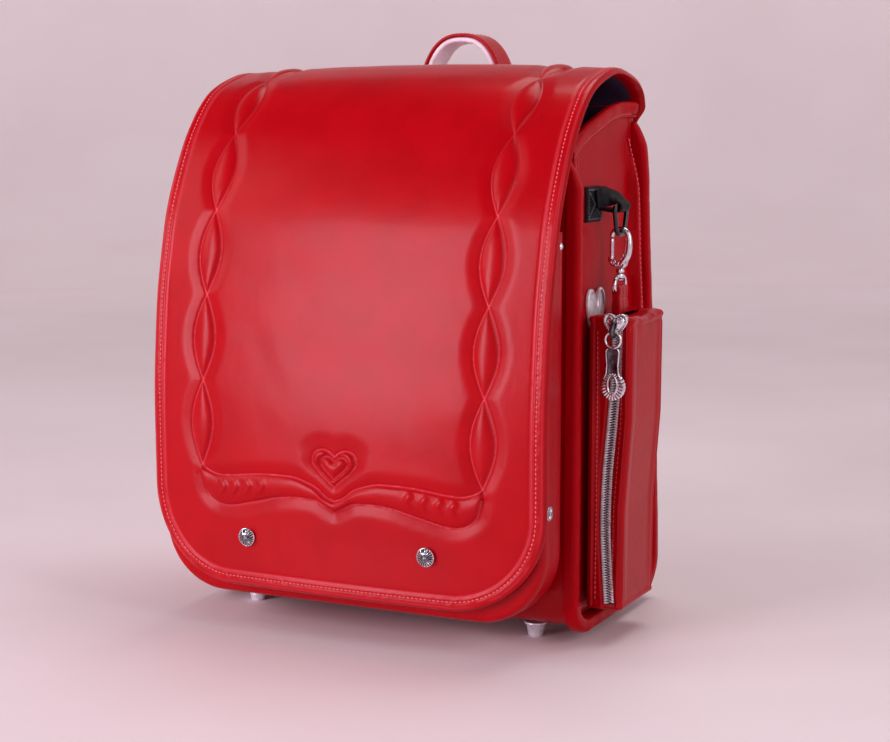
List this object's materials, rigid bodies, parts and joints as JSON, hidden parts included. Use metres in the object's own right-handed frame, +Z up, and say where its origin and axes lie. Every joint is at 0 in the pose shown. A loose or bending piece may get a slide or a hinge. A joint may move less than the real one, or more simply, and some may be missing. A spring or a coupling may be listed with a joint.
{
  "type": "school ransel",
  "caption": "Stiff school backpack with a full-length embossed flap, front pocket, carry handle, shoulder straps and a zipped key pouch clipped to its side.",
  "frame": {"origin": "middle of the bottom of the bag's box, on the surface that its feet stand on", "axes": "+Z up, -Y out of the flap's face, +Y toward the wearer's back, +X toward the side with the key pouch"},
  "size_m": [0.289, 0.238, 0.3653],
  "materials": {
    "red_leather": "gloss artificial leather with a fine grain",
    "chrome": "polished plating",
    "black_metal": "satin black",
    "black_webbing": "woven nylon",
    "pale_lining": "soft matte lining"
  },
  "bodies": {
    "bag": {"main_compartment": "red_leather", "front_pocket": "red_leather", "pocket_gusset": "red_leather", "flap": "red_leather", "back_pad": "red_leather", "anchor_bracket": "red_leather", "handle_band": "red_leather", "side_panel_left": "red_leather", "side_rim_left": "red_leather", "side_trim_left": "red_leather", "shoulder_strap_left": "red_leather", "strap_tab_left": "red_leather", "side_panel_right": "red_leather", "side_rim_right": "red_leather", "side_trim_right": "red_leather", "shoulder_strap_right": "red_leather", "strap_tab_right": "red_leather", "pouch_tab": "red_leather", "pouch": "red_leather", "handle_lining": "pale_lining", "foot_front_left": "chrome", "foot_rear_left": "chrome", "foot_front_right": "chrome", "foot_rear_right": "chrome", "flap_stud_left": "chrome", "flap_stud_right": "chrome", "pocket_stud_left": "chrome", "pocket_stud_right": "chrome", "pocket_rivet_left": "chrome", "pocket_rivet_right": "chrome", "flap_clasp": "chrome", "snap_hook": "chrome", "swivel_eye": "chrome", "zip_chain": "chrome", "zip_slider": "chrome", "heart_ornament": "chrome", "webbing_patch": "black_webbing", "webbing_loop": "black_webbing", "d_ring": "black_metal"},
    "gate": {"hook_gate": "chrome"},
    "pull": {"zip_pull": "chrome"}
  },
  "joints": [
    {"name": "hook_gate_hinge", "type": "hinge", "parent": "bag", "child": "gate", "pos_m": [0.1212, -0.01261, 0.228], "axis": [0, 1, 0], "range_deg": [0, 25], "stiffness_Nm_per_rad": 0.01, "springref_deg": -8.59},
    {"name": "zip_pull_hinge", "type": "hinge", "parent": "bag", "child": "pull", "pos_m": [0.13105, -0.04741, 0.18738], "axis": [-1, 0, 0], "range_deg": [0, 150]}
  ]
}
